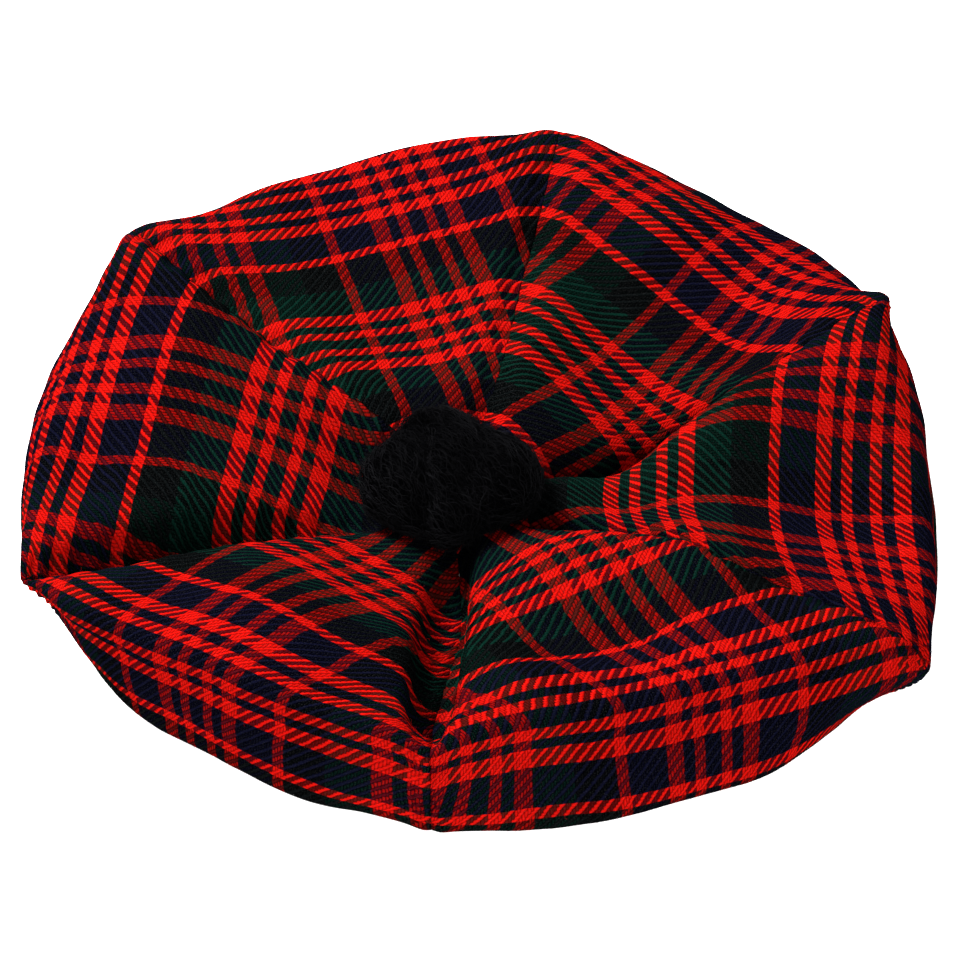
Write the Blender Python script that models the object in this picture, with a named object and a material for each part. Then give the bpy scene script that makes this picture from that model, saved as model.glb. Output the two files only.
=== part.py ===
"""Tam o' shanter: six tartan panels over a headband, with a yarn toorie in the dish of the crown."""
import math

import bmesh
import bpy
import numpy as np
from mathutils import Matrix
from mathutils import Vector
from mathutils.bvhtree import BVHTree

MM = 0.001

# Sizes in millimetres. Plan positions are from the middle of the headband, heights from its foot.
MIDDLE = (-5.0, -12.5)    # middle of the headband, seen from the middle of the whole hat
CLOTH = 1.6                # thickness of the wool
GAP = 0.3                  # clear gap between neighbouring pieces
BAND_INNER = 89.0          # inner radius of the headband, for a 56 cm head
BAND_OUTER = 92.0
BAND_HEIGHT = 31.0
BAND_SIDES = 72
LEDGE = 3.0                # width of cloth that lies on top of the headband
PUFF = 2.5                 # how squarely a panel swells between its two seams
GROOVE_DEPTH = 2.6         # the seams pull the cloth down in a groove
GROOVE_WIDTH = 5.0
HANG = 42.0                # how strongly the wall's fall is carried on into the underside
SWEEP = 55.0               # how flatly the underside comes in to the headband
MITRE_LIMIT = 0.65
NEST = 0.45                # inside this fraction of the way out, the cloth's thickness is measured upright

# Fractions along the cloth: 0 middle of the crown, 1 crest, 2 foot of the outer wall, 3 headband.
STATIONS = (0.0, 0.22, 0.45, 0.72, 1.0, 1.35, 2.0)
APEX = (-5.0, 5.0, 40.0)

# One row a seam (one letter) or panel middle (two letters). Headings are in degrees.
# Columns: heading, then reach at crest, rim and foot, then height at dish, slope, shoulder, crest, rim and foot.
# Inside the crest the cloth runs straight in, so its reach there is the station's share of the crest's.
SPOKES = {
    "a": (138, 145, 150, 145, 60, 65, 65, 75, 60, 30),
    "ab": (108, 130, 150, 150, 55, 55, 60, 65, 65, 35),
    "b": (78, 150, 160, 155, 55, 60, 65, 75, 70, 35),
    "bc": (48, 135, 160, 160, 50, 45, 50, 60, 55, 35),
    "c": (24, 145, 150, 150, 40, 25, 55, 75, 65, 45),
    "cd": (-4, 120, 140, 150, 50, 50, 60, 60, 60, 30),
    "d": (-31, 145, 160, 145, 45, 60, 65, 65, 55, 35),
    "de": (-60, 120, 130, 140, 50, 60, 65, 70, 60, 45),
    "e": (-94, 125, 130, 130, 45, 50, 60, 70, 60, 40),
    "ef": (-130, 120, 125, 125, 45, 50, 65, 70, 55, 35),
    "f": (-160, 140, 135, 125, 45, 50, 55, 60, 45, 20),
    "fa": (169, 125, 140, 140, 45, 60, 70, 65, 50, 30),
}
PANELS = ("ab", "bc", "cd", "de", "ef", "fa")

# Soft folds pressed into the crown. Columns: start x, start y, end x, end y, half width, lift.
FOLDS = (
    (45, 120, 60, 115, 25, 5),
    (90, 65, 100, 90, 20, -5),
    (70, 10, 125, 35, 25, 15),
    (55, -15, 130, -20, 20, -5),
    (30, -45, 65, -45, 20, 5),
    (0, -95, 15, -105, 20, 5),
    (25, -80, 50, -75, 15, -5),
    (-50, -30, -60, -80, 25, 5),
    (-85, 60, -100, 80, 25, 5),
    (-40, 10, -115, 0, 20, -5),
    (-5, -40, -5, -105, 10, -5),
)
FOLD_END = 0.8             # how far a fold runs out past its ends, as a share of its half width

ROWS = (0.04, 0.1, 0.16, 0.22, 0.33, 0.45, 0.58, 0.72, 0.84, 0.93, 1.0, 1.07, 1.17, 1.35,
        1.65, 2.0, 2.1, 2.25, 2.5, 2.8, 3.0)
HALF_COLUMNS = (0.0, 0.03, 0.08, 0.17, 0.28, 0.39, 0.5)

# The toorie: a head of a few yarn lumps with tufts of yarn fused all over it.
TOORIE = (-4.0, -2.0, 53.0)
TOORIE_RADIUS = (26.0, 25.0, 16.5)
# Columns: x, y, z from the middle of the toorie, radius, squash in height.
LUMPS = (
    (12, -2, 1, 15, 0.85),
    (-12, -3, 1, 15, 0.85),
    (-4, 11, 3, 13, 0.85),
    (-2, -12, -1, 13, 0.8),
    (0, 0, 2, 18, 0.8),
)
TUFTS = 46
TUFT_THICK = 3.6
TUFT_LONG = 7.0
TUFT_REACH = (1.0, 0.94, 0.97, 0.9, 0.95)     # a small repeat of tuft lengths
TUFT_TURN = 137.5                             # degrees from one tuft to the next
REMESH = 2.5
SETTLE = 0.5                                  # the toorie's foot stands this far off the cloth
FEEL = ((0, 0), (1.2, 0), (-1.2, 0), (0, 1.2), (0, -1.2))
HEART = 4.0                                   # height of the toorie's heart over its middle

CLOTH_COLOURS = {
    "ab": (0.30, 0.03, 0.03),
    "bc": (0.28, 0.03, 0.03),
    "cd": (0.26, 0.03, 0.03),
    "de": (0.30, 0.03, 0.03),
    "ef": (0.28, 0.03, 0.03),
    "fa": (0.26, 0.03, 0.03),
}
BAND_COLOUR = (0.02, 0.02, 0.025)
YARN_COLOUR = (0.006, 0.006, 0.007)


def clear_scene():
    for item in list(bpy.data.objects):
        bpy.data.objects.remove(item, do_unlink=True)


def cloth_material(name, colour, roughness):
    made = bpy.data.materials.new(name)
    made.use_nodes = True
    shader = made.node_tree.nodes["Principled BSDF"]
    shader.inputs["Base Color"].default_value = (*colour, 1.0)
    shader.inputs["Roughness"].default_value = roughness
    made.diffuse_color = (*colour, 1.0)
    return made


def unit(vectors):
    size = np.linalg.norm(vectors, axis=-1, keepdims=True)
    return vectors / np.maximum(size, 1e-9)


def through(knots, points, at):
    """A smooth curve through the points, one at each knot."""
    step = np.diff(knots)
    slope = np.diff(points, axis=0) / step[:, None]
    lean = np.zeros_like(points)
    lean[0] = slope[0]
    lean[-1] = slope[-1]
    lean[1:-1] = (slope[:-1] * step[1:, None] + slope[1:] * step[:-1, None]) / (step[:-1] + step[1:])[:, None]
    i = np.clip(np.searchsorted(knots, at, side="right") - 1, 0, len(knots) - 2)
    h = step[i][:, None]
    s = ((at - knots[i]) / step[i])[:, None]
    return (
        (1 + 2 * s) * (1 - s) ** 2 * points[i]
        + s * (1 - s) ** 2 * h * lean[i]
        + s * s * (3 - 2 * s) * points[i + 1]
        + s * s * (s - 1) * h * lean[i + 1]
    )


def spoke(name, at):
    """Points down one seam or panel middle, from the middle of the crown to the foot of the wall."""
    heading, crest, rim, foot, *heights = SPOKES[name]
    reaches = [share * crest for share in STATIONS[1:5]] + [rim, foot]
    turn = math.radians(heading)
    rows = [APEX]
    for reach, height in zip(reaches, heights):
        rows.append((reach * math.cos(turn), reach * math.sin(turn), height))
    return through(np.array(STATIONS), np.array(rows, float), at)


def fold_lift(points):
    lift = np.zeros(len(points))
    for x0, y0, x1, y1, width, rise in FOLDS:
        start = np.array((x0, y0), float)
        run = np.array((x1 - x0, y1 - y0), float)
        length = np.hypot(*run)
        run = run / length
        offset = points[:, :2] - start
        along = offset @ run
        beside = offset @ np.array((-run[1], run[0]))
        past = (along - np.clip(along, 0, length)) / FOLD_END
        lift += rise * np.exp(-(beside ** 2 + past ** 2) / width ** 2)
    return lift


def upper(panel, across, at):
    """The crown and outer wall of a panel. Across runs 0 to 1 from one seam to the next."""
    left = spoke(panel[0], at)
    right = spoke(panel[1], at)
    middle = spoke(panel, at)
    a = across[:, None]
    swell = 1 - np.abs(2 * a - 1) ** PUFF
    points = (1 - a) * left + a * right + swell * (middle - (left + right) / 2)
    width = np.linalg.norm(right - left, axis=1)
    edge = np.minimum(across, 1 - across) * width
    reach = np.clip(at / STATIONS[1], 0, 1)
    points[:, 2] += fold_lift(points) - GROOVE_DEPTH * reach * np.exp(-(edge / GROOVE_WIDTH) ** 2)
    return points


def surface(panel, across, at):
    """The outside of a panel, carried round under the wall to lie on the headband."""
    points = upper(panel, across, np.minimum(at, 2.0))
    foot = upper(panel, across, np.full_like(at, 2.0))
    above = upper(panel, across, np.full_like(at, 1.9))
    fall = unit(foot - above) * HANG
    ring = unit(foot * np.array((1, 1, 0)))
    s = np.clip(at - 2.0, 0, 1)[:, None]
    ledge = ring * (BAND_INNER + LEDGE) + np.array((0, 0, BAND_HEIGHT + GAP))
    under = (
        (1 + 2 * s) * (1 - s) ** 2 * foot
        + s * (1 - s) ** 2 * fall
        + s * s * (3 - 2 * s) * ledge
        + s * s * (s - 1) * -ring * SWEEP
    )
    return np.where(at[:, None] > 2.0, under, points)


def grid(panel, columns, rows):
    """A rows by columns grid of points on the outside of a panel."""
    a, t = np.meshgrid(columns, rows)
    return surface(panel, a.ravel(), t.ravel()).reshape(len(rows), len(columns), 3)


def normals(panel, columns, rows):
    """Outward directions on that grid, from small steps inside the panel."""
    small = 0.004
    a, t = np.meshgrid(np.clip(columns, small, 1 - small), rows)
    a = a.ravel()
    t = t.ravel()
    across = surface(panel, a + small, t) - surface(panel, a - small, t)
    along = surface(panel, a, np.minimum(t + small, 3.0)) - surface(panel, a, np.maximum(t - small, 0.02))
    upright = np.clip(1.5 - 1.5 * t / NEST, 0, 1)[:, None]
    out = unit((1 - upright) * unit(np.cross(across, along)) + upright * np.array((0.0, 0.0, 1.0)))
    return out.reshape(len(rows), len(columns), 3)


def mitre(before, after):
    """The shared direction of a seam's two walls, longer where the panels meet at an angle."""
    shared = unit(before + after)
    open_ = np.sum(shared * after, axis=1, keepdims=True)
    return shared / np.maximum(open_, MITRE_LIMIT)


def body(name, vertices, faces, material):
    """One closed object from points in millimetres about the middle of the headband."""
    shift = np.array((MIDDLE[0], MIDDLE[1], 0.0))
    mesh = bpy.data.meshes.new(name)
    mesh.from_pydata([tuple((np.array(v) + shift) * MM) for v in vertices], [], faces)
    made = bmesh.new()
    made.from_mesh(mesh)
    bmesh.ops.recalc_face_normals(made, faces=made.faces)
    if made.calc_volume(signed=True) < 0:
        bmesh.ops.reverse_faces(made, faces=made.faces)
    for face in made.faces:
        face.smooth = True
    for edge in made.edges:
        edge.smooth = edge.calc_face_angle(0.0) < math.radians(50)
    made.to_mesh(mesh)
    made.free()
    mesh.materials.append(material)
    item = bpy.data.objects.new(name, mesh)
    bpy.context.scene.collection.objects.link(item)
    return item


def shell(name, outer, inner, material):
    """A closed sheet between two grids of points of the same size."""
    rows, columns = outer.shape[:2]
    count = rows * columns
    faces = []
    for r in range(rows - 1):
        for c in range(columns - 1):
            a = r * columns + c
            b = a + 1
            d = a + columns
            e = d + 1
            faces.append((a, b, e))
            faces.append((a, e, d))
            faces.append((count + a, count + e, count + b))
            faces.append((count + a, count + d, count + e))
    sides = []
    for r in range(rows - 1):
        sides.append((r * columns, (r + 1) * columns))
        sides.append((r * columns + columns - 1, (r + 1) * columns + columns - 1))
    for c in range(columns - 1):
        sides.append((c, c + 1))
        sides.append((count - columns + c, count - columns + c + 1))
    for p, q in sides:
        faces.append((p, q, count + q))
        faces.append((p, count + q, count + p))
    return body(name, np.concatenate((outer.reshape(-1, 3), inner.reshape(-1, 3))), faces, material)


def crown_panels():
    rows = np.array(ROWS)
    half = np.array(HALF_COLUMNS)
    columns = np.concatenate((half, 1 - half[-2::-1]))
    facing = {panel: normals(panel, columns, rows) for panel in PANELS}
    made = []
    for i, panel in enumerate(PANELS):
        before = facing[PANELS[i - 1]][:, -1]
        after = facing[PANELS[(i + 1) % len(PANELS)]][:, 0]
        out = facing[panel].copy()
        out[:, 0] = mitre(before, facing[panel][:, 0])
        out[:, -1] = mitre(after, facing[panel][:, -1])
        outer = grid(panel, columns, rows)
        width = np.linalg.norm(outer[:, -1] - outer[:, 0], axis=1)
        for r, t in enumerate(rows):
            clear = 0.6 * GAP / width[r]
            inset = clear + columns * (1 - 2 * clear)
            outer[r] = surface(panel, inset, np.full(len(columns), t))
        inner = outer - out * CLOTH
        name = "crown_panel_" + panel
        material = cloth_material("cloth_" + panel, CLOTH_COLOURS[panel], 0.9)
        made.append(shell(name, outer, inner, material))
    return made


def headband():
    profile = ((BAND_INNER, 0.0), (BAND_OUTER, 0.0), (BAND_OUTER, BAND_HEIGHT), (BAND_INNER, BAND_HEIGHT))
    points = []
    faces = []
    for k in range(BAND_SIDES):
        turn = 2 * math.pi * k / BAND_SIDES
        for radius, height in profile:
            points.append((radius * math.cos(turn), radius * math.sin(turn), height))
        ahead = (k + 1) % BAND_SIDES
        for j in range(len(profile)):
            up = (j + 1) % len(profile)
            low = len(profile) * k
            high = len(profile) * ahead
            faces.append((low + j, high + j, high + up))
            faces.append((low + j, high + up, low + up))
    return body("headband", points, faces, cloth_material("band_wool", BAND_COLOUR, 0.9))


def ball(target, centre, radii, turn, finer):
    """One yarn lump or tuft, added to a mesh that is being gathered."""
    place = Matrix.Translation(Vector(centre)) @ turn.to_4x4() @ Matrix.Diagonal((*radii, 1.0))
    bmesh.ops.create_icosphere(target, subdivisions=finer, radius=1.0, matrix=place)


def cloth_height(x, y, cloth):
    """The highest cloth at a place and just round it, in millimetres."""
    highest = 0.0
    for dx, dy in FEEL:
        start = Vector(((x + MIDDLE[0] + dx) * MM, (y + MIDDLE[1] + dy) * MM, 0.2))
        for tree in cloth:
            hit = tree.ray_cast(start, Vector((0, 0, -1)))[0]
            if hit is not None:
                highest = max(highest, hit.z / MM)
    return highest


def settled(point, cloth):
    """A yarn point, drawn in towards the heart of the toorie until it clears the cloth."""
    heart = Vector(TOORIE) + Vector((0, 0, HEART))
    if point.z > cloth_height(point.x, point.y, cloth) + SETTLE:
        return point
    inside = 0.0
    outside = 1.0
    for _ in range(9):
        share = (inside + outside) / 2
        tried = heart.lerp(point, share)
        if tried.z > cloth_height(tried.x, tried.y, cloth) + SETTLE:
            inside = share
        else:
            outside = share
    return heart.lerp(point, inside)


def toorie(cloth):
    """Lumps and tufts gathered in one mesh, fused, and settled on the cloth of the dish."""
    gathered = bmesh.new()
    still = Matrix.Identity(3)
    for x, y, z, radius, squash in LUMPS:
        centre = (TOORIE[0] + x, TOORIE[1] + y, TOORIE[2] + z)
        ball(gathered, centre, (radius, radius, radius * squash), still, 3)
    for k in range(TUFTS):
        climb = math.asin(1 - 1.75 * (k + 0.5) / TUFTS)
        turn = math.radians(TUFT_TURN * k)
        way = Vector((math.cos(climb) * math.cos(turn), math.cos(climb) * math.sin(turn), math.sin(climb)))
        reach = TUFT_REACH[k % len(TUFT_REACH)]
        tip = Vector([TOORIE[i] + way[i] * (TOORIE_RADIUS[i] - TUFT_LONG) * reach for i in range(3)])
        lean = way.to_track_quat("Z", "Y").to_matrix()
        ball(gathered, tip, (TUFT_THICK, TUFT_THICK, TUFT_LONG), lean, 2)
    source = bpy.data.meshes.new("yarn_lumps")
    gathered.to_mesh(source)
    gathered.free()
    rough = bpy.data.objects.new("yarn_lumps", source)
    bpy.context.scene.collection.objects.link(rough)
    fuse = rough.modifiers.new("fuse", "REMESH")
    fuse.mode = "VOXEL"
    fuse.voxel_size = REMESH
    view = bpy.context.evaluated_depsgraph_get()
    fused = bpy.data.meshes.new_from_object(rough.evaluated_get(view))
    bpy.data.objects.remove(rough, do_unlink=True)
    points = [tuple(settled(vertex.co, cloth)) for vertex in fused.vertices]
    faces = []
    for face in fused.polygons:
        corners = list(face.vertices)
        for k in range(1, len(corners) - 1):
            faces.append((corners[0], corners[k], corners[k + 1]))
    bpy.data.meshes.remove(fused)
    return body("toorie", points, faces, cloth_material("toorie_yarn", YARN_COLOUR, 0.95))


def build():
    clear_scene()
    panels = crown_panels()
    headband()
    trees = []
    for item in panels:
        corners = [vertex.co.copy() for vertex in item.data.vertices]
        trees.append(BVHTree.FromPolygons(corners, [tuple(face.vertices) for face in item.data.polygons]))
    toorie(trees)


build()
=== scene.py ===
import math

import bmesh
import bpy
import numpy as np
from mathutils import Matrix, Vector, noise


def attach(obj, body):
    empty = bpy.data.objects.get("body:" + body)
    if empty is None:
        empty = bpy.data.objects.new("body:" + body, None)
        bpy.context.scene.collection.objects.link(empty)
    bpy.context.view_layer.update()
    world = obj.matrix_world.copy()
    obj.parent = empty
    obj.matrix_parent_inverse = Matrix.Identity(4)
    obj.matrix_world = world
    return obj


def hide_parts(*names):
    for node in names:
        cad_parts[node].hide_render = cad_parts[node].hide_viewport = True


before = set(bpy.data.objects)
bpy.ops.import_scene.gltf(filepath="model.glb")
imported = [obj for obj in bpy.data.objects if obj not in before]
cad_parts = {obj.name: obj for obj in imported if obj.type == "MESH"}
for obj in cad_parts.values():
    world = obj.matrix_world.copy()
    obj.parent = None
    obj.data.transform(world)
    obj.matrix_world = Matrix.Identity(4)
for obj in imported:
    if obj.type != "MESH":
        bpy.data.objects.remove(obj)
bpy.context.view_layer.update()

MM = 0.001

# The cap's sizes in millimetres, as in the part's source. Plan sizes run from the headband's middle, and
# heights from its foot.
MIDDLE = (-5.0, -12.5)      # where the headband's middle lies
CLOTH = 1.6                 # thickness of the cloth
BAND_INNER = 89.0
BAND_OUTER = 92.0
BAND_HEIGHT = 31.0
SEAM_GAP = 0.3
LEDGE = 3.0                 # the cloth ends this far out from the headband's inside
PUFF = 2.5                  # the higher, the flatter a panel lies between its seams
GROOVE_DEPTH = 2.6
GROOVE_WIDTH = 5.0
HANG = 42.0                 # how strongly the cloth goes on falling below the wall
SWEEP = 55.0                # how strongly it sweeps in towards the headband
MITRE_LIMIT = 0.65
NEST = 0.45                 # nearer the middle of the crown than this, outwards turns towards straight up

# Places along the cloth, counted from 0 at the middle of the crown.
INNER_EDGE = 0.04           # the finished panels begin here, under the toorie
CREST = 1.0
FOOT = 2.0                  # foot of the outer wall
ABOVE_FOOT = 1.9
BAND = 3.0                  # where the cloth is sewn to the headband
STATIONS = (0.0, 0.22, 0.45, 0.72, CREST, 1.35, FOOT)
APEX = (-5.0, 5.0, 40.0)

# One row a seam (one letter) or panel middle (two letters). Headings are in degrees.
# Columns: heading, then reach at crest, rim and foot, then height at dish, slope, shoulder, crest, rim
# and foot. Inside the crest the cloth runs straight in, so its reach there is the station's share of the
# crest's.
SPOKES = {
    "a": (138, 145, 150, 145, 60, 65, 65, 75, 60, 30),
    "ab": (108, 130, 150, 150, 55, 55, 60, 65, 65, 35),
    "b": (78, 150, 160, 155, 55, 60, 65, 75, 70, 35),
    "bc": (48, 135, 160, 160, 50, 45, 50, 60, 55, 35),
    "c": (24, 145, 150, 150, 40, 25, 55, 75, 65, 45),
    "cd": (-4, 120, 140, 150, 50, 50, 60, 60, 60, 30),
    "d": (-31, 145, 160, 145, 45, 60, 65, 65, 55, 35),
    "de": (-60, 120, 130, 140, 50, 60, 65, 70, 60, 45),
    "e": (-94, 125, 130, 130, 45, 50, 60, 70, 60, 40),
    "ef": (-130, 120, 125, 125, 45, 50, 65, 70, 55, 35),
    "f": (-160, 140, 135, 125, 45, 50, 55, 60, 45, 20),
    "fa": (169, 125, 140, 140, 45, 60, 70, 65, 50, 30),
}

# Soft folds pressed into the crown. Columns: start x, start y, end x, end y, half width, lift.
FOLDS = (
    (45, 120, 60, 115, 25, 5),
    (90, 65, 100, 90, 20, -5),
    (70, 10, 125, 35, 25, 15),
    (55, -15, 130, -20, 20, -5),
    (30, -45, 65, -45, 20, 5),
    (0, -95, 15, -105, 20, 5),
    (25, -80, 50, -75, 15, -5),
    (-50, -30, -60, -80, 25, 5),
    (-85, 60, -100, 80, 25, 5),
    (-40, 10, -115, 0, 20, -5),
    (-5, -40, -5, -105, 10, -5),
)
FOLD_END = 0.8

# Small relief that the solids leave out.
DENTS = ((30.0, 1.4), (12.0, 0.5))      # size of a dent, and its depth
PUCKER_LIFT = 0.5                       # the seams' stitches draw the cloth into short ripples
PUCKER_WIDTH = 9.0
PUCKERS = 17                            # ripples from the middle of the crown to the crest
ROLL_DEPTH = 0.7                        # the cloth turns in at the seam itself
ROLL_WIDTH = 1.1
RELIEF_START = 0.15                     # where the relief begins, and how far it takes to rise and to die out
RELIEF_RISE = 0.2
RELIEF_FALL = 0.3
SEAM_CLEAR = 0.03
ALLOWANCE = 4.0                         # width of cloth turned in at a seam
ALLOWANCE_THICK = 0.8                   # its thickness, as a share of the grid's first column

# How the crown's seams are drawn in. Columns: depth, width on the panel before, width on the panel after.
SUNK = {
    "a": (2.0, 6, 6),
    "b": (3.0, 7, 7),
    "c": (3.0, 9, 9),
    "d": (0.5, 6, 6),
    "e": (7.5, 3.5, 7),
    "f": (4.0, 9, 9),
}
SINK_RISE = 0.4             # how far out from the middle of the crown a seam takes to reach its depth
SINK_END = 1.08             # where it has come up again, and how far that takes
SINK_FALL = 0.2

# How each panel is cut from the checked cloth, in threads. v runs down the panel, and u across it,
# clockwise. Columns: v at the middle of the crown, counted inwards from a green pivot, then u down the
# panel's middle, then how far u is pulled askew down the wall.
CUT = {
    "ab": (80, 58, 0),
    "bc": (80, 58, 0),
    "cd": (70, 32, 0),
    "de": (70, 92, -10),
    "ef": (66, 84, 0),
    "fa": (66, 70, 0),
}
PANELS = tuple(CUT)
THREAD = 0.915              # from one thread to the next
HALF_WIDTH = 82             # threads from a panel's middle to its seam, at the crest
CREST_THREAD = 76
SLOPE_END = 0.75            # outside this the threads lie evenly over the bent cloth
FOOT_THREAD = 120           # roughly where the wall ends; askew is how far u has been pulled by here

# The check, from a green pivot to a navy one and back: threads counted from the green pivot.
HALF_CHECK = 80
CHECK = (
    ("green", 3), ("red", 4), ("green", 4), ("red", 6), ("green", 14), ("black", 14),
    ("red", 4), ("navy", 14), ("red", 6), ("navy", 4), ("red", 4), ("navy", 3),
)
DYES = {
    "red": (0.31, 0.0026, 0.0014, 1.0),
    "green": (0.0007, 0.0085, 0.0056, 1.0),
    "black": (0.0013, 0.0018, 0.0019, 1.0),
    "navy": (0.0016, 0.0018, 0.0066, 1.0),
}
# Colour added for the painted highlights of glinting fibres.
FIBRE_GLINT = (0.007, 0.007, 0.007, 1.0)
TWILL = 4                   # threads in one repeat of the twill
DOWN_FLOAT = 2.3            # how many of them the threads running down the panel cover
STEP_SHARE = 0.25           # how much the twill's slanting lines step from thread to thread
OVER_NUMBERS = 500          # sets the random numbers of the threads across apart from those of the ones down
WANDER = 0.9                # how far the threads stray from straight, in threads
WANDER_SCALE = 0.35

# The grid of points of one panel.
CROWN_ROWS = 110
WALL_ROWS = 32
UNDER_ROWS = 26
HALF_COLUMNS = 46
COLUMN_CROWDING = 2.2       # the higher, the closer the columns lie at the seams

# The cloth's loose fibres, in millimetres.
FUZZ = 1500                 # fibres a panel
HAIR_LONG = 1.6
HAIR_THICK = 0.05

# The toorie's yarn, in millimetres.
LOCKS = 3700                # strands combed over the head
LOCK_LONG = 9.0
LOCK_THICK = 0.3
WISPS = 3200                # loose curled ends
WISP_LONG = 4.5
WISP_THICK = 0.16

# All strands and fibres.
TAPER = 0.6                 # share of its thickness that a strand loses towards its tip
SMALLEST = 0.55             # they are scaled by chance between these two
LARGEST = 1.15


# ---------------------------------------------------------------- shader writing


class Field:
    """A number that varies over a surface: one output socket of a shader."""

    def __init__(self, shader, socket):
        self.shader = shader
        self.socket = socket

    def math(self, operation, *terms):
        return self.shader.node("Math", {"operation": operation}, dict(enumerate(terms)))[0]

    def __add__(self, other):
        return self.math("ADD", self, other)

    def __radd__(self, other):
        return self.math("ADD", other, self)

    def __sub__(self, other):
        return self.math("SUBTRACT", self, other)

    def __rsub__(self, other):
        return self.math("SUBTRACT", other, self)

    def __mul__(self, other):
        return self.math("MULTIPLY", self, other)

    def __truediv__(self, other):
        return self.math("DIVIDE", self, other)

    def __pow__(self, other):
        return self.math("POWER", self, other)

    def __lt__(self, other):
        return self.math("LESS_THAN", self, other)

    def __mod__(self, other):
        return self.math("FLOORED_MODULO", self, other)

    def floor(self):
        return self.math("FLOOR", self)

    def clamp(self):
        return self.math("MINIMUM", self.math("MAXIMUM", self, 0.0), 1.0)

    def pingpong(self, other):
        return self.math("PINGPONG", self, other)

    def pick(self, yes, no):
        """yes where this is 1, no where it is 0."""
        return no + self * (yes - no)


class Shader:
    """A material being written, with one Principled surface."""

    def __init__(self, name):
        self.material = bpy.data.materials.new(name)
        self.material.use_nodes = True
        self.tree = self.material.node_tree
        self.surface = self.tree.nodes["Principled BSDF"]

    def fill(self, socket, given):
        if isinstance(given, Field):
            self.tree.links.new(given.socket, socket)
        else:
            socket.default_value = given

    def node(self, kind, settings=None, inputs=None):
        """Adds any node: its settings first, then the values or links of its sockets."""
        made = self.tree.nodes.new("ShaderNode" + kind)
        for name, value in (settings or {}).items():
            setattr(made, name, value)
        for name, given in (inputs or {}).items():
            self.fill(made.inputs[name], given)
        return [Field(self, socket) for socket in made.outputs]

    def ramp(self, factor, stops, interpolation="LINEAR"):
        made = self.tree.nodes.new("ShaderNodeValToRGB")
        made.color_ramp.interpolation = interpolation
        points = made.color_ramp.elements
        while len(points) < len(stops):
            points.new(1.0)
        for point, (place, colour) in zip(points, stops):
            point.position = place
            point.color = colour
        self.fill(made.inputs[0], factor)
        return Field(self, made.outputs[0])

    def mix(self, factor, a, b, blend="MIX"):
        """Two colours mixed. Sockets 6 and 7 of the node take colours, and output 2 gives one."""
        made = self.tree.nodes.new("ShaderNodeMix")
        made.data_type = "RGBA"
        made.blend_type = blend
        self.fill(made.inputs[0], factor)
        self.fill(made.inputs[6], a)
        self.fill(made.inputs[7], b)
        return Field(self, made.outputs[2])

    def lit(self, colour, light):
        """A colour made lighter or darker by a number."""
        return self.mix(1.0, colour, self.join(light, light, light), "MULTIPLY")

    def uv(self, name):
        place = self.node("UVMap", {"uv_map": name})[0]
        return self.node("SeparateXYZ", inputs={0: place})[:2]

    def here(self):
        return self.node("TexCoord")[3]

    def noise(self, place, scale, detail=2.0, roughness=0.5):
        inputs = {"Vector": place, "Scale": scale, "Detail": detail, "Roughness": roughness}
        return self.node("TexNoise", inputs=inputs)[0]

    def join(self, x, y, z=0.0):
        return self.node("CombineXYZ", inputs={0: x, 1: y, 2: z})[0]

    def bump(self, height, distance, strength=1.0):
        return self.node("Bump", inputs={"Height": height, "Distance": distance, "Strength": strength})[0]

    def finish(self, **given):
        for name, value in given.items():
            self.fill(self.surface.inputs[name.replace("_", " ")], value)
        return self.material


def check_stops():
    stops = []
    at = 0
    for dye, threads in CHECK:
        stops.append((at / HALF_CHECK, DYES[dye]))
        at += threads
    return stops


def thread_dye(s, number):
    """The colour of a thread, from its number in the check."""
    return s.ramp((number + 0.5).pingpong(HALF_CHECK) / HALF_CHECK, check_stops(), "CONSTANT")


def redness(s, dye):
    """1 for the red dye, and close to 0 for the others."""
    return s.node("SeparateColor", inputs={0: dye})[0] / DYES["red"][0]


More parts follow.
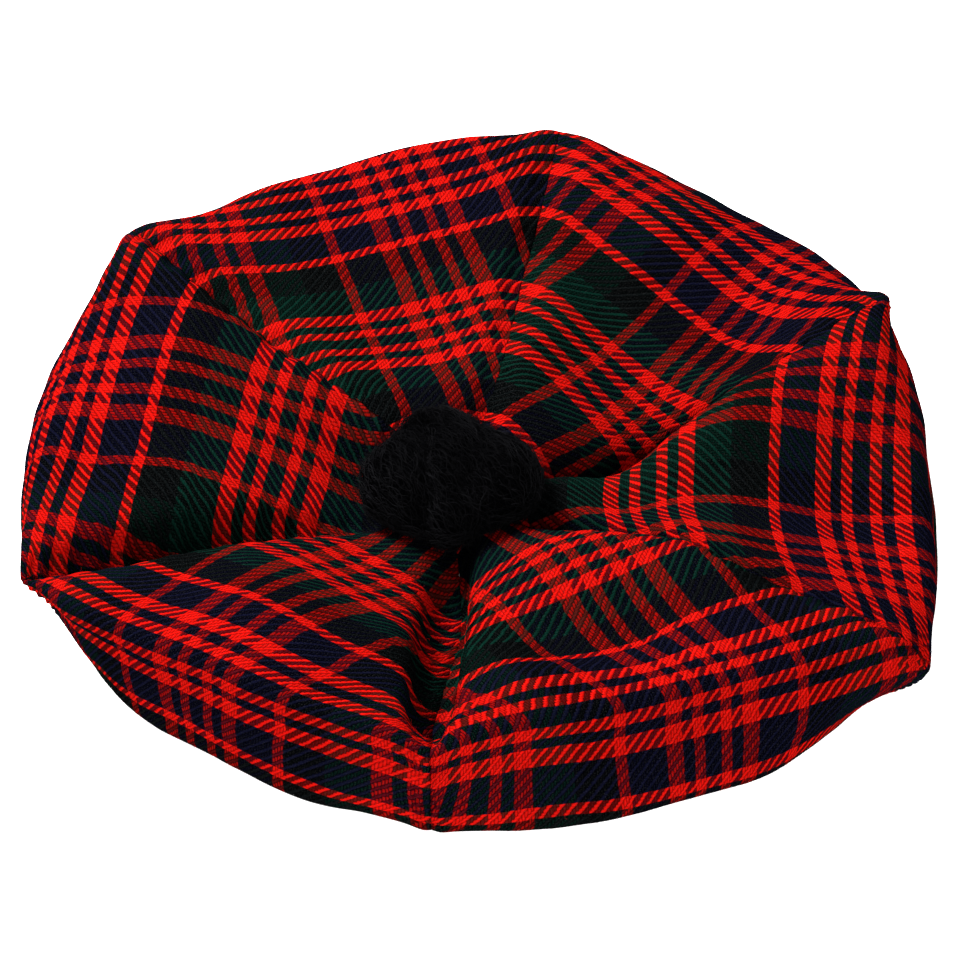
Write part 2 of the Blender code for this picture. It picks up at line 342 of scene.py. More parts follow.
def tartan_wool():
    """A two-and-two twill: each thread passes over and under about two, a step along from its neighbour."""
    s = Shader("tartan_wool")
    u, v = s.uv("weave")
    cloth = s.join(u, v)
    u = u + (s.noise(cloth, WANDER_SCALE) - 0.5) * WANDER
    v = v + (s.noise(s.join(v, u, 7.0), WANDER_SCALE) - 0.5) * WANDER
    i = u.floor()
    j = v.floor()
    # Neighbouring floats run together into slanting lines, with small steps left from thread to thread.
    slant = ((u - v) * (1 - STEP_SHARE) + (i - j) * STEP_SHARE + 0.5) % TWILL
    down_on_top = slant < DOWN_FLOAT
    down_dye = thread_dye(s, i)
    across_dye = thread_dye(s, j)
    red_down = redness(s, down_dye)
    red_across = redness(s, across_dye)
    # The thread's round back, and its float rising from under its neighbours and dipping again.
    across_down = 1 - ((u - i) * 2 - 1) ** 2
    across_over = 1 - ((v - j) * 2 - 1) ** 2
    along_down = 1 - (slant * 2 / DOWN_FLOAT - 1) ** 2
    along_over = 1 - ((slant - DOWN_FLOAT) * 2 / (TWILL - DOWN_FLOAT) - 1) ** 2
    height_down = across_down * 0.55 + along_down * 0.45
    height_over = across_over * 0.25 + along_over * 0.75
    height = down_on_top.pick(height_down, height_over)
    # The threads that run down the panel are spun finer, so the ones across show in the gaps beside them;
    # there the across thread is darkened as painted shade, least beside a red thread.
    covers = (across_down * 1.5 - 0.1).clamp() * ((along_down - 0.25) * 3.0).clamp()
    shaded_gap_colour = s.mix(down_on_top, across_dye, s.lit(across_dye, 0.2 + red_down * 0.6))
    dye = s.mix(down_on_top * (covers * 0.75 + 0.1), shaded_gap_colour, down_dye)
    # Fibres of the thread beneath come through, the red ones most.
    fibres_down = s.noise(s.join(u * 9, v * 1.6), 1.0, 3.0, 0.6)
    fibres_over = s.noise(s.join(u * 1.6, v * 9, 3.0), 1.0, 3.0, 0.6)
    fibres = down_on_top.pick(fibres_down, fibres_over)
    beneath = s.mix(down_on_top, down_dye, across_dye)
    red_beneath = down_on_top.pick(red_across, red_down)
    dye = s.mix(((fibres - 0.25) * 0.9).clamp() * (0.1 + red_beneath * 0.9), dye, beneath)
    # Each thread is spun a little lighter or darker, and the cloth is worn unevenly.
    thread = down_on_top.pick(i, j + OVER_NUMBERS)
    spun = s.node("TexWhiteNoise", {"noise_dimensions": "1D"}, {"W": thread})[0]
    worn = s.noise(cloth, 0.05, 3.0)
    # Painted shade: the height term darkens each thread towards its edges and where its float dips under its
    # neighbours; spun, fibres and worn vary the tone.
    light = (0.2 + height * 0.9) * (0.9 + spun * 0.2) * (0.5 + fibres * 0.9) * (0.8 + worn * 0.4)
    # The floats of the threads down the panel are drawn darker, much less so where red crosses red.
    light = light * (1 - down_on_top * (0.55 - red_down * red_across * 0.45))
    # A dark thread that crosses over a red one lies in the red one's shadow.
    light = light * (1 - red_down * (1 - red_across) * (1 - down_on_top) * 0.55)
    colour = s.lit(dye, light)
    # Painted highlights: light specks added to the colour where single fibres standing off the cloth would
    # glint.
    glint = ((s.noise(s.join(u * 2.5, v * 2.5, 11.0), 1.0, 2.0, 0.7) - 0.55) * 8.0).clamp()
    colour = s.mix(glint, colour, s.mix(1.0, colour, FIBRE_GLINT, "ADD"))
    return s.finish(
        Base_Color=colour,
        Roughness=0.92,
        Normal=s.bump(height + fibres * 0.4, 0.35 * MM, 0.9),
        Specular_IOR_Level=0.0,
    )


def black_yarn():
    """Soft black wool yarn, a little paler in some strands."""
    s = Shader("toorie_yarn")
    here = s.here()
    tone = s.node("Attribute", {"attribute_name": "tone"})[2]
    strand = s.noise(here, 2600.0, 2.0)
    depth = tone * 0.55 + s.noise(here, 110.0, 2.0) * 0.25 + strand * 0.2
    colour = s.ramp(depth, [(0.3, (0.0004, 0.0004, 0.0005, 1)), (0.95, (0.0050, 0.0050, 0.0056, 1))])
    return s.finish(
        Base_Color=colour,
        Roughness=0.95,
        Normal=s.bump(strand, 0.3 * MM, 0.6),
        Specular_IOR_Level=0.0,
    )


def band_wool():
    """Plain black wool in a close rib. The rib runs up the band."""
    s = Shader("band_wool")
    around, up = s.uv("weave")
    rib = around.pingpong(0.5) * 2
    tuft = s.noise(s.join(around * 3, up * 6), 1.0, 3.0)
    # Painted shade darkens the grooves between the ribs; the tufts vary the tone.
    colour = s.lit((0.005, 0.005, 0.006, 1), (0.5 + rib * 0.5) * (0.5 + tuft))
    return s.finish(
        Base_Color=colour,
        Roughness=0.92,
        Normal=s.bump(rib + tuft * 0.5, 0.4 * MM, 0.8),
        Specular_IOR_Level=0.05,
    )


# ---------------------------------------------------------------- the crown's shape


def unit(vectors):
    size = np.linalg.norm(vectors, axis=-1, keepdims=True)
    return vectors / np.maximum(size, 1e-9)


def through(knots, points, at):
    """A smooth curve through the points, one at each knot."""
    step = np.diff(knots)
    slope = np.diff(points, axis=0) / step[:, None]
    lean = np.zeros_like(points)
    lean[0] = slope[0]
    lean[-1] = slope[-1]
    before = step[:-1, None]
    after = step[1:, None]
    lean[1:-1] = (slope[:-1] * after + slope[1:] * before) / (before + after)
    i = np.clip(np.searchsorted(knots, at, side="right") - 1, 0, len(knots) - 2)
    h = step[i][:, None]
    s = ((at - knots[i]) / step[i])[:, None]
    return (
        (1 + 2 * s) * (1 - s) ** 2 * points[i]
        + s * (1 - s) ** 2 * h * lean[i]
        + s * s * (3 - 2 * s) * points[i + 1]
        + s * s * (s - 1) * h * lean[i + 1]
    )


def spoke(name, at):
    """Points down one seam or panel middle, from the middle of the crown to the foot of the wall."""
    heading, crest, rim, foot, *heights = SPOKES[name]
    reaches = [share * crest for share in STATIONS[1:5]] + [rim, foot]
    turn = math.radians(heading)
    rows = [APEX]
    for reach, height in zip(reaches, heights):
        rows.append((reach * math.cos(turn), reach * math.sin(turn), height))
    return through(np.array(STATIONS), np.array(rows, float), at)


def fold_lift(points):
    lift = np.zeros(len(points))
    for x0, y0, x1, y1, width, rise in FOLDS:
        start = np.array((x0, y0), float)
        run = np.array((x1 - x0, y1 - y0), float)
        length = np.hypot(*run)
        run = run / length
        offset = points[:, :2] - start
        along = offset @ run
        beside = offset @ np.array((-run[1], run[0]))
        past = (along - np.clip(along, 0, length)) / FOLD_END
        lift += rise * np.exp(-(beside ** 2 + past ** 2) / width ** 2)
    return lift


def upper(panel, across, at):
    """The crown and outer wall of a panel. Across runs 0 to 1 from one seam to the next."""
    left = spoke(panel[0], at)
    right = spoke(panel[1], at)
    middle = spoke(panel, at)
    a = across[:, None]
    swell = 1 - np.abs(2 * a - 1) ** PUFF
    points = (1 - a) * left + a * right + swell * (middle - (left + right) / 2)
    width = np.linalg.norm(right - left, axis=1)
    edge = np.minimum(across, 1 - across) * width
    reach = np.clip(at / STATIONS[1], 0, 1)
    points[:, 2] += fold_lift(points) - GROOVE_DEPTH * reach * np.exp(-(edge / GROOVE_WIDTH) ** 2)
    return points


def surface(panel, across, at):
    """The outside of a panel, carried round under the wall to lie on the headband."""
    points = upper(panel, across, np.minimum(at, FOOT))
    foot = upper(panel, across, np.full_like(at, FOOT))
    above = upper(panel, across, np.full_like(at, ABOVE_FOOT))
    fall = unit(foot - above) * HANG
    ring = unit(foot * np.array((1, 1, 0)))
    s = np.clip(at - FOOT, 0, 1)[:, None]
    ledge = ring * (BAND_INNER + LEDGE) + np.array((0, 0, BAND_HEIGHT + SEAM_GAP))
    under = (
        (1 + 2 * s) * (1 - s) ** 2 * foot
        + s * (1 - s) ** 2 * fall
        + s * s * (3 - 2 * s) * ledge
        + s * s * (s - 1) * -ring * SWEEP
    )
    return np.where(at[:, None] > FOOT, under, points)


def facing(panel, columns, rows):
    """Outward directions over the grid, from small steps inside the panel."""
    small = 0.004
    a, t = np.meshgrid(np.clip(columns, small, 1 - small), rows)
    a = a.ravel()
    t = t.ravel()
    across = surface(panel, a + small, t) - surface(panel, a - small, t)
    outer = surface(panel, a, np.minimum(t + small, BAND))
    along = outer - surface(panel, a, np.maximum(t - small, 0.02))
    upright = np.clip(1.5 - 1.5 * t / NEST, 0, 1)[:, None]
    out = unit((1 - upright) * unit(np.cross(across, along)) + upright * np.array((0.0, 0.0, 1.0)))
    return out.reshape(len(rows), len(columns), 3)


def mitre(before, after):
    """The shared direction of a seam's two walls, longer where the panels meet at an angle."""
    shared = unit(before + after)
    open_ = np.sum(shared * after, axis=1, keepdims=True)
    return shared / np.maximum(open_, MITRE_LIMIT)


def small_relief(points, edge, rows):
    """How far each point of a panel stands out: dents, puckers by the seams, and the turned-in edge."""
    flat = points.reshape(-1, 3)
    dents = np.zeros(len(flat))
    for size, depth in DENTS:
        dents += depth * np.array([noise.noise(Vector(p) / size) for p in flat])
    pucker = np.sin(2 * math.pi * PUCKERS * rows)[:, None] * np.exp(-(edge / PUCKER_WIDTH) ** 2)
    roll = np.exp(-(edge / ROLL_WIDTH) ** 2)
    # It dies out at the headband, where the cloth is sewn flat, and under the toorie.
    rise = np.clip((rows - RELIEF_START) / RELIEF_RISE, 0, 1)
    fall = np.clip((BAND - rows) / RELIEF_FALL, 0, 1)
    free = (rise * fall)[:, None]
    return free * (dents.reshape(edge.shape) + PUCKER_LIFT * pucker - ROLL_DEPTH * roll)


def seam_sink(panel, edge, columns, rows):
    """How far the seams on the crown lie below the cloth beside them."""
    rise = np.clip(rows / SINK_RISE, 0, 1)
    fall = np.clip((SINK_END - rows) / SINK_FALL, 0, 1)
    inside = (rise * fall)[:, None]
    first_depth, _, first_width = SUNK[panel[0]]
    last_depth, last_width, _ = SUNK[panel[1]]
    first = first_depth * np.exp(-(edge / first_width) ** 2)
    last = last_depth * np.exp(-(edge / last_width) ** 2)
    return inside * np.where(columns[None, :] < 0.5, first, last)


def share_across(points):
    """How far each point lies from a panel's first seam to its last, measured over the cloth."""
    steps = np.linalg.norm(np.diff(points, axis=1), axis=2)
    along = np.concatenate((np.zeros((len(points), 1)), np.cumsum(steps, axis=1)), 1)
    return along / along[:, -1:]


def weave_place(panel, columns, rows, smooth, drawn):
    """Where each point lies on the flat cloth, in threads. Cloth drawn into a seam isn't stretched."""
    inward, middle, askew = CUT[panel]
    crest = np.searchsorted(rows, CREST)
    slope = np.searchsorted(rows, SLOPE_END)
    steps = np.linalg.norm(np.diff(smooth, axis=0), axis=2)
    run = np.concatenate((np.zeros((1, len(columns))), np.cumsum(steps, axis=0)))
    v = np.repeat((-inward + (inward + CREST_THREAD) * rows)[:, None], len(columns), 1)
    towards_crest = (run - run[slope]) / (run[crest] - run[slope])
    v[slope:crest] = v[slope] + (CREST_THREAD - v[slope]) * towards_crest[slope:crest]
    v[crest:] = CREST_THREAD + (run[crest:] - run[crest]) / THREAD
    width = np.sum(np.linalg.norm(np.diff(smooth, axis=1), axis=2), axis=1)
    half = HALF_WIDTH * np.where(rows < CREST, rows, width / width[crest])
    share = columns[None, :] + share_across(drawn) - share_across(smooth)
    down_wall = np.clip((v - CREST_THREAD) / (FOOT_THREAD - CREST_THREAD), 0, None)
    u = middle + (2 * share - 1) * half[:, None] + askew * down_wall
    return np.stack((u, v), -1)


def flat_cut(place):
    """Width, length and area of a panel laid flat, in metres, from where its points lie on the cloth."""
    flat = place * THREAD * MM
    width, length = np.ptp(flat.reshape(-1, 2), axis=0)
    one = flat[1:, 1:] - flat[:-1, :-1]
    other = flat[1:, :-1] - flat[:-1, 1:]
    area = np.abs(one[..., 0] * other[..., 1] - one[..., 1] * other[..., 0]).sum() / 2
    return float(width), float(length), float(area)


def object_from(name, points, faces, material, uv):
    """One piece from points in millimetres about the headband's middle. uv gives a place for each point."""
    mesh = bpy.data.meshes.new(name)
    placed = (np.asarray(points) + np.array((*MIDDLE, 0.0))) * MM
    mesh.from_pydata(placed.tolist(), [], faces)
    mesh.polygons.foreach_set("use_smooth", np.ones(len(mesh.polygons), bool))
    layer = mesh.uv_layers.new(name="weave")
    corners = np.empty(len(mesh.loops), int)
    mesh.loops.foreach_get("vertex_index", corners)
    layer.data.foreach_set("uv", np.asarray(uv, float)[corners].ravel())
    mesh.materials.append(material)
    mesh.update()
    piece = bpy.data.objects.new(name, mesh)
    bpy.context.scene.collection.objects.link(piece)
    return piece


def panel_rows():
    return np.concatenate((
        np.linspace(INNER_EDGE, CREST, CROWN_ROWS, endpoint=False),
        np.linspace(CREST, FOOT, WALL_ROWS, endpoint=False),
        np.linspace(FOOT, BAND, UNDER_ROWS),
    ))


def panel_columns():
    """Close together at the seams, where the cloth turns in, and even between."""
    half = np.linspace(0, 1, HALF_COLUMNS)
    half = 0.5 * (0.5 * half + 0.5 * half ** COLUMN_CROWDING)
    return np.concatenate((half, 1 - half[-2::-1]))


def crown_panels(material):
    rows = panel_rows()
    columns = panel_columns()
    out_of = {panel: facing(panel, columns, rows) for panel in PANELS}
    made = []
    for k, panel in enumerate(PANELS):
        out = out_of[panel].copy()
        out[:, 0] = mitre(out_of[PANELS[k - 1]][:, -1], out_of[panel][:, 0])
        out[:, -1] = mitre(out_of[PANELS[(k + 1) % len(PANELS)]][:, 0], out_of[panel][:, -1])
        a, t = np.meshgrid(columns, rows)
        outer = surface(panel, a.ravel(), t.ravel()).reshape(len(rows), len(columns), 3)
        width = np.linalg.norm(outer[:, -1] - outer[:, 0], axis=1)
        edge = np.minimum(columns, 1 - columns)[None, :] * width[:, None]
        relief = small_relief(outer, edge, rows) - seam_sink(panel, edge, columns, rows)
        clear = SEAM_CLEAR / width
        inset = clear[:, None] + columns[None, :] * (1 - 2 * clear[:, None])
        smooth = surface(panel, inset.ravel(), t.ravel()).reshape(outer.shape)
        outer = smooth + unit(out) * relief[:, :, None]
        inner = outer - out * CLOTH
        place = weave_place(panel, columns, rows, smooth, outer)
        outer, inner, place = turned_in(outer, inner, unit(out), place)
        made.append((shell("panel_" + panel, outer, inner, place, material), flat_cut(place)))
    return made


def turned_in(outer, inner, out, place):
    """Adds the seam allowance: a narrow strip down inside the hat along both of the panel's seams."""
    first_side = ALLOWANCE_THICK * (outer[:, 1] - outer[:, 0])
    last_side = ALLOWANCE_THICK * (outer[:, -2] - outer[:, -1])
    first = outer[:, 0] - out[:, 0] * ALLOWANCE
    last = outer[:, -1] - out[:, -1] * ALLOWANCE
    inner = inner.copy()
    inner[:, 0] += first_side
    inner[:, -1] += last_side
    outer = np.concatenate((first[:, None], outer, last[:, None]), 1)
    inner = np.concatenate(((first + first_side)[:, None], inner, (last + last_side)[:, None]), 1)
    beyond = np.array((ALLOWANCE / THREAD, 0.0))
    place = np.concatenate((place[:, :1] - beyond, place, place[:, -1:] + beyond), 1)
    return outer, inner, place


def shell(name, outer, inner, place, material):
    """A closed sheet between two grids of points of the same size."""
    rows, columns = outer.shape[:2]
    count = rows * columns
    number = np.arange(count).reshape(rows, columns)
    a = number[:-1, :-1].ravel()
    b = number[:-1, 1:].ravel()
    d = number[1:, :-1].ravel()
    e = number[1:, 1:].ravel()
    faces = np.stack((a, b, e, d), 1).tolist() + (np.stack((a, d, e, b), 1) + count).tolist()
    for p, q in zip(number[:-1, 0], number[1:, 0]):
        faces.append((p, q, q + count, p + count))
    for p, q in zip(number[:-1, -1], number[1:, -1]):
        faces.append((p, p + count, q + count, q))
    for p, q in zip(number[0, :-1], number[0, 1:]):
        faces.append((p, p + count, q + count, q))
    for p, q in zip(number[-1, :-1], number[-1, 1:]):
        faces.append((p, q, q + count, p + count))
    points = np.concatenate((outer.reshape(-1, 3), inner.reshape(-1, 3)))
    uv = np.concatenate((place.reshape(-1, 2), place.reshape(-1, 2)))
    return object_from(name, points, [tuple(int(n) for n in f) for f in faces], material, uv)


# ---------------------------------------------------------------- the headband

BAND_STEPS = 240
BAND_SOFTNESS = 1.1         # radius of the band's folded edges
BAND_RIBS = 3               # ribs between two steps


def headband(material):
    """A doubled band of wool, folded over softly at both edges."""
    arc = np.linspace(0, math.pi / 2, 5)
    corners = (
        (BAND_OUTER, BAND_HEIGHT, 0.0),
        (BAND_INNER, BAND_HEIGHT, math.pi / 2),
        (BAND_INNER, 0.0, math.pi),
        (BAND_OUTER, 0.0, 1.5 * math.pi),
    )
    profile = []
    for radius, height, start in corners:
        x = radius + (-BAND_SOFTNESS if radius == BAND_OUTER else BAND_SOFTNESS)
        z = height + (-BAND_SOFTNESS if height == BAND_HEIGHT else BAND_SOFTNESS)
        for turn in arc + start:
            profile.append((x + BAND_SOFTNESS * math.cos(turn), z + BAND_SOFTNESS * math.sin(turn)))
    count = len(profile)
    points = []
    places = []
    faces = []
    for k in range(BAND_STEPS):
        turn = 2 * math.pi * k / BAND_STEPS
        for radius, height in profile:
            points.append((radius * math.cos(turn), radius * math.sin(turn), height))
            places.append((BAND_RIBS * k, height))
        ahead = (k + 1) % BAND_STEPS
        for j in range(count):
            up = (j + 1) % count
            faces.append((k * count + j, ahead * count + j, ahead * count + up, k * count + up))
    return object_from("band", points, faces, material, places)


# ---------------------------------------------------------------- yarn and fibres


class Growth:
    """A Geometry Nodes tree being written."""

    def __init__(self, name):
        self.tree = bpy.data.node_groups.new(name, "GeometryNodeTree")
        self.given = {}
        self.source = self.tree.nodes.new("NodeGroupInput")
        self.end = self.tree.nodes.new("NodeGroupOutput")
        self.ask("Geometry", "Geometry")
        self.tree.interface.new_socket("Geometry", in_out="OUTPUT", socket_type="NodeSocketGeometry")

    def ask(self, name, kind):
        """A named input of the tree."""
        socket = self.tree.interface.new_socket(name, in_out="INPUT", socket_type="NodeSocket" + kind)
        self.given[name] = socket
        return self.source.outputs[name]

    def node(self, kind, settings=None, inputs=None):
        made = self.tree.nodes.new(kind)
        for name, value in (settings or {}).items():
            setattr(made, name, value)
        for name, value in (inputs or {}).items():
            if isinstance(value, bpy.types.NodeSocket):
                self.tree.links.new(value, made.inputs[name])
            else:
                made.inputs[name].default_value = value
        return made

    def close(self, geometry):
        self.tree.links.new(geometry, self.end.inputs[0])


def fibre_growth():
    """Strands scattered over a surface, combed away from a parting, then turned and leaned by chance."""
    g = Growth("fibre_growth")
    strand = g.ask("Strand", "Object")
    density = g.ask("Density", "Float")
    parting = g.ask("Parting", "Vector")
    comb = g.ask("Comb", "Float")
    turn = g.ask("Turn", "Float")
    lean = g.ask("Lean", "Float")
    lowest = g.ask("Lowest facing", "Float")
    seed = g.ask("Seed", "Int")
    material = g.ask("Material", "Material")
    normal = g.node("GeometryNodeInputNormal").outputs[0]
    rise = g.node("ShaderNodeSeparateXYZ", inputs={0: normal}).outputs[2]
    facing_up = g.node(
        "FunctionNodeCompare",
        {"data_type": "FLOAT", "operation": "GREATER_THAN"},
        {0: rise, 1: lowest},
    ).outputs[0]
    ground = g.source.outputs["Geometry"]
    scatter = g.node(
        "GeometryNodeDistributePointsOnFaces",
        inputs={"Mesh": ground, "Selection": facing_up, "Density": density, "Seed": seed},
    )
    most = g.node("ShaderNodeCombineXYZ", inputs={0: lean, 1: lean, 2: turn}).outputs[0]
    least = g.node("ShaderNodeVectorMath", {"operation": "SCALE"}, {0: most, "Scale": -1.0}).outputs[0]
    chance = g.node(
        "FunctionNodeRandomValue",
        {"data_type": "FLOAT_VECTOR"},
        {0: least, 1: most, "Seed": seed},
    ).outputs[0]
    turned = g.node("FunctionNodeEulerToRotation", inputs={0: chance}).outputs[0]
    place = g.node("GeometryNodeInputPosition").outputs[0]
    flow = g.node("ShaderNodeVectorMath", {"operation": "SUBTRACT"}, {0: place, 1: parting}).outputs[0]
    combed = g.node(
        "FunctionNodeAlignRotationToVector",
        {"axis": "X", "pivot_axis": "Z"},
        {"Rotation": scatter.outputs["Rotation"], "Factor": comb, "Vector": flow},
    ).outputs[0]
    way = g.node(
        "FunctionNodeRotateRotation",
        {"rotation_space": "LOCAL"},
        {0: combed, 1: turned},
    ).outputs[0]
    size = g.node(
        "FunctionNodeRandomValue",
        {"data_type": "FLOAT"},
        {2: SMALLEST, 3: LARGEST, "Seed": seed},
    ).outputs[1]
    shape = g.node("GeometryNodeObjectInfo", inputs={"Object": strand}).outputs["Geometry"]
    laid = g.node(
        "GeometryNodeInstanceOnPoints",
        inputs={"Points": scatter.outputs["Points"], "Instance": shape, "Rotation": way, "Scale": size},
    ).outputs[0]
    tone = g.node(
        "FunctionNodeRandomValue",
        {"data_type": "FLOAT"},
        {2: 0.0, 3: 1.0, "Seed": seed},
    ).outputs[1]
    toned = g.node(
        "GeometryNodeStoreNamedAttribute",
        {"data_type": "FLOAT", "domain": "INSTANCE"},
        {"Geometry": laid, "Name": "tone", "Value": tone},
    ).outputs[0]
    real = g.node("GeometryNodeRealizeInstances", inputs={0: toned}).outputs[0]
    # Each strand keeps the place on the cloth that it grows from, and so its thread's colour.
    kept = g.node(
        "GeometryNodeInputNamedAttribute",
        {"data_type": "FLOAT_VECTOR"},
        {"Name": "weave"},
    ).outputs[0]
    placed = g.node(
        "GeometryNodeStoreNamedAttribute",
        {"data_type": "FLOAT2", "domain": "CORNER"},
        {"Geometry": real, "Name": "weave", "Value": kept},
    ).outputs[0]
    dressed = g.node("GeometryNodeSetMaterial", inputs={"Geometry": placed, "Material": material})
    g.close(dressed.outputs[0])
    return g


def standing(length, curl, turns):
    """The path of a curled strand that stands on the origin."""
    def at(share):
        swing = 2 * math.pi * turns * share
        return Vector((curl * math.sin(swing), curl * (1 - math.cos(swing)), length * share))
    return at


def lying(length, wave, lift, bend):
    """The path of a strand that lies along X over a round surface and tucks in at its ends."""
    def at(share):
        x = length * (share - 0.5)
        return Vector((x, wave * math.sin(2 * math.pi * share), lift - x * x / (2 * bend)))
    return at


def strand(name, path, thick, steps):
    """One three-sided strand along a path in millimetres, as an object for the fibres to copy."""
    points = []
    faces = []
    for k in range(steps + 1):
        share = k / steps
        radius = thick / 2 * (1 - TAPER * share)
        way = (path(min(share + 0.01, 1.0)) - path(max(share - 0.01, 0.0))).normalized()
        side_way = way.cross(Vector((0.3, 1.0, 0.2))).normalized()
        up_way = way.cross(side_way)
        for side in range(3):
            turn = 2 * math.pi * side / 3
            side_step = side_way * radius * math.cos(turn)
            up_step = up_way * radius * math.sin(turn)
            points.append((path(share) + side_step + up_step) * MM)
    for k in range(steps):
        for side in range(3):
            ahead = (side + 1) % 3
            faces.append((3 * k + side, 3 * k + ahead, 3 * k + 3 + ahead, 3 * k + 3 + side))
    faces.append((3 * steps, 3 * steps + 1, 3 * steps + 2))
    faces.append((2, 1, 0))
    mesh = bpy.data.meshes.new(name)
    mesh.from_pydata(points, [], faces)
    return bpy.data.objects.new(name, mesh)


def grown(name, ground, growth, area, count, **given):
    """The strands that grow on a piece, as a mesh of their own."""
    holder = bpy.data.objects.new(name, ground.data)
    bpy.context.scene.collection.objects.link(holder)
    modifier = holder.modifiers.new("growth", "NODES")
    modifier.node_group = growth.tree
    given["Density"] = count / area
    for asked, value in given.items():
        modifier[growth.given[asked].identifier] = value
    view = bpy.context.evaluated_depsgraph_get()
    mesh = bpy.data.meshes.new_from_object(holder.evaluated_get(view), depsgraph=view)
    mesh.name = name
    holder.modifiers.clear()
    holder.data = mesh
    return holder


def area_of(piece):
    return sum(face.area for face in piece.data.polygons)


# The toorie's head, in millimetres.
LUMP_SIZE = 5.0             # the wound yarn lies in small locks
LUMP_DEPTH = 0.8
HEAD_SWELL = 1.5            # the yarn stands out a little beyond the solid

# These are in metres. The toorie has fallen into two lobes, with a crease between them.
PARTING = Vector((-0.05, 0.03, 0.06))       # the locks are combed away from here
CREASE_X = -0.0165
CREASE_BACK = 0.002
CREASE_WIDTH = 0.0032
CREASE_DEPTH = 0.003
MERGE = 1e-6                # points of the solid closer than this are one


def yarn_head(material):
    """The toorie's solid, with its loose triangles merged and drawn into small locks."""
    made = bmesh.new()
    made.from_mesh(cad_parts["toorie"].data)
    made.transform(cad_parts["toorie"].matrix_world)
    bmesh.ops.remove_doubles(made, verts=made.verts, dist=MERGE)
    bmesh.ops.subdivide_edges(made, edges=made.edges, cuts=1, use_grid_fill=True)
    bmesh.ops.smooth_vert(
        made, verts=made.verts, factor=0.5, use_axis_x=True, use_axis_y=True, use_axis_z=True,
    )
    made.normal_update()
    for vertex in made.verts:
        x, y, _ = vertex.co
        lump = MM * LUMP_DEPTH * (0.6 + noise.noise(vertex.co / (LUMP_SIZE * MM)))
        front = min(max((CREASE_BACK - y) / (4 * CREASE_WIDTH), 0.0), 1.0)
        crease = CREASE_DEPTH * front * math.exp(-((x - CREASE_X) / CREASE_WIDTH) ** 2)
        vertex.co += vertex.normal * (HEAD_SWELL * MM - lump - crease)
    for face in made.faces:
        face.smooth = True
    mesh = bpy.data.meshes.new("toorie_head")
    made.to_mesh(mesh)
    made.free()
    mesh.materials.append(material)
    piece = bpy.data.objects.new("toorie_head", mesh)
    bpy.context.scene.collection.objects.link(piece)
    return piece


# ---------------------------------------------------------------- assembling

growth = fibre_growth()

cloth = tartan_wool()
hair = strand("hair", standing(HAIR_LONG, 0.35, 0.6), HAIR_THICK, 2)
for k, (panel, (piece, cut)) in enumerate(zip(PANELS, crown_panels(cloth))):
    node = "crown_panel_" + panel
    fuzz = grown(
        "fuzz_" + panel, piece, growth, area_of(piece), FUZZ,
        Strand=hair, Parting=PARTING, Comb=0.0, Turn=math.pi, Lean=1.2, Seed=k, Material=cloth,
        **{"Lowest facing": -0.4},
    )
    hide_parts(node)
    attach(piece, "root")
    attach(fuzz, "root")

yarn = black_yarn()
head = yarn_head(yarn)
combed = grown(
    "toorie_locks", head, growth, area_of(head), LOCKS,
    Strand=strand("lock", lying(LOCK_LONG, 0.7, 0.9, 20.0), LOCK_THICK, 8),
    Parting=PARTING, Comb=1.0, Turn=0.5, Lean=0.12, Seed=9, Material=yarn, **{"Lowest facing": -0.6},
)
loose = grown(
    "toorie_fuzz", head, growth, area_of(head), WISPS,
    Strand=strand("wisp", standing(WISP_LONG, 1.1, 0.8), WISP_THICK, 6),
    Parting=PARTING, Comb=0.0, Turn=math.pi, Lean=1.35, Seed=10, Material=yarn,
    **{"Lowest facing": -0.75},
)
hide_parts("toorie")
for piece in (head, combed, loose):
    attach(piece, "root")

band = headband(band_wool())
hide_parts("headband")
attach(band, "root")

# ---------------------------------------------------------------- floor, lights and camera

FLOOR_SIZE = 6.0

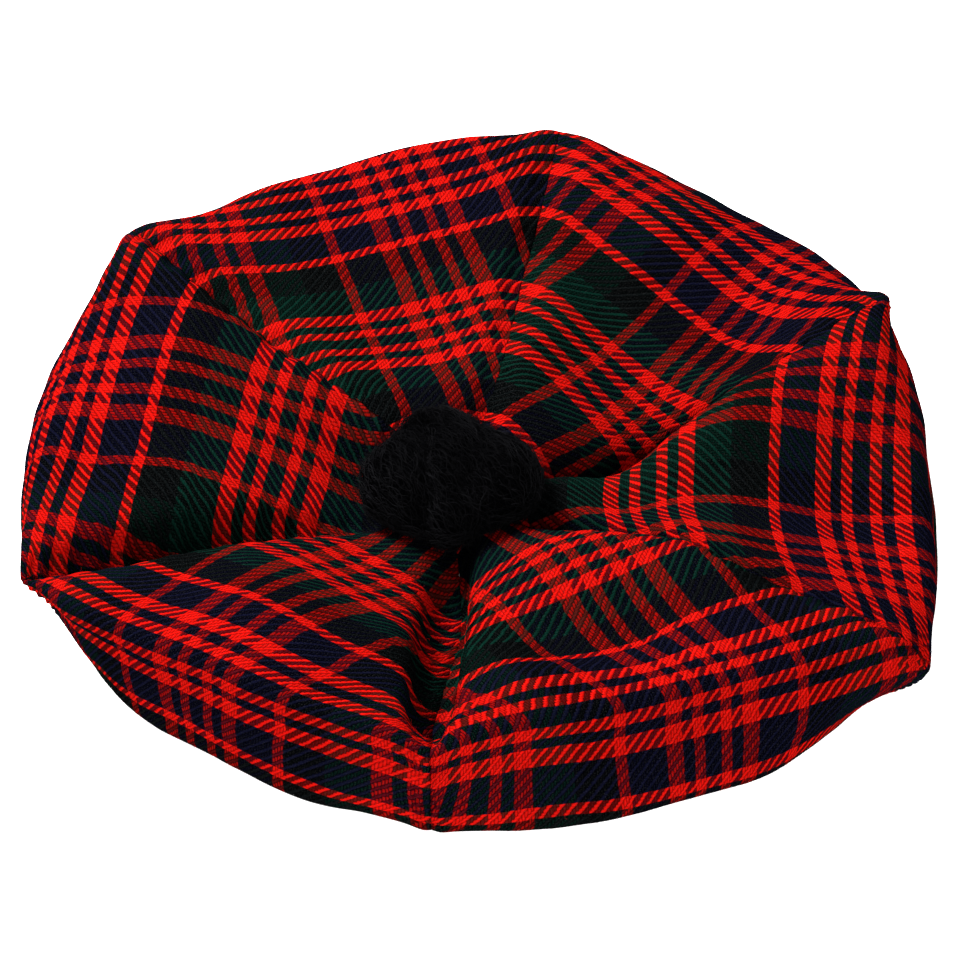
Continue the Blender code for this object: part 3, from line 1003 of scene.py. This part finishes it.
# Columns: name, place, power, size.
LAMPS = (
    ("key", (-0.8, 0.75, 1.2), 110.0, 0.6),
    ("fill", (0.4, -1.4, 0.7), 34.0, 1.0),
)
LAMPS_AIM = Vector((0, 0, 0.05))


def studio():
    floor_mesh = bpy.data.meshes.new("studio_floor")
    h = FLOOR_SIZE / 2
    floor_mesh.from_pydata([(-h, -h, 0), (h, -h, 0), (h, h, 0), (-h, h, 0)], [], [(0, 1, 2, 3)])
    floor = bpy.data.objects.new("studio_floor", floor_mesh)
    bpy.context.scene.collection.objects.link(floor)
    s = Shader("studio_floor")
    # A white table lit a little from below, so the hat's shadow stays pale.
    floor_mesh.materials.append(s.finish(
        Base_Color=(0.9, 0.9, 0.9, 1.0),
        Roughness=0.9,
        Emission_Color=(1.0, 1.0, 1.0, 1.0),
        Emission_Strength=0.5,
    ))
    world = bpy.data.worlds.new("studio")
    world.use_nodes = True
    world.node_tree.nodes["Background"].inputs[0].default_value = (1.0, 1.0, 1.0, 1.0)
    world.node_tree.nodes["Background"].inputs[1].default_value = 0.8
    bpy.context.scene.world = world
    for name, place, power, size in LAMPS:
        lamp = bpy.data.lights.new(name, "AREA")
        lamp.energy = power
        lamp.size = size
        made = bpy.data.objects.new(name, lamp)
        made.location = place
        made.rotation_euler = (LAMPS_AIM - Vector(place)).to_track_quat("-Z", "Y").to_euler()
        bpy.context.scene.collection.objects.link(made)
    bpy.context.scene.view_settings.view_transform = "Standard"


CAMERA_TARGET = Vector((0.0, -0.0285, 0.066))
CAMERA_DISTANCE = 0.95
CAMERA_ELEVATION = math.radians(43.0)
CAMERA_LENS = 116.0


def camera():
    made = bpy.data.objects.new("camera", bpy.data.cameras.new("camera"))
    away = Vector((0.0, -math.cos(CAMERA_ELEVATION), math.sin(CAMERA_ELEVATION)))
    made.location = CAMERA_TARGET + away * CAMERA_DISTANCE
    made.rotation_euler = (-away).to_track_quat("-Z", "Y").to_euler()
    made.data.lens = CAMERA_LENS
    made.data.sensor_width = 36.0
    bpy.context.scene.collection.objects.link(made)
    bpy.context.scene.camera = made


studio()
camera()
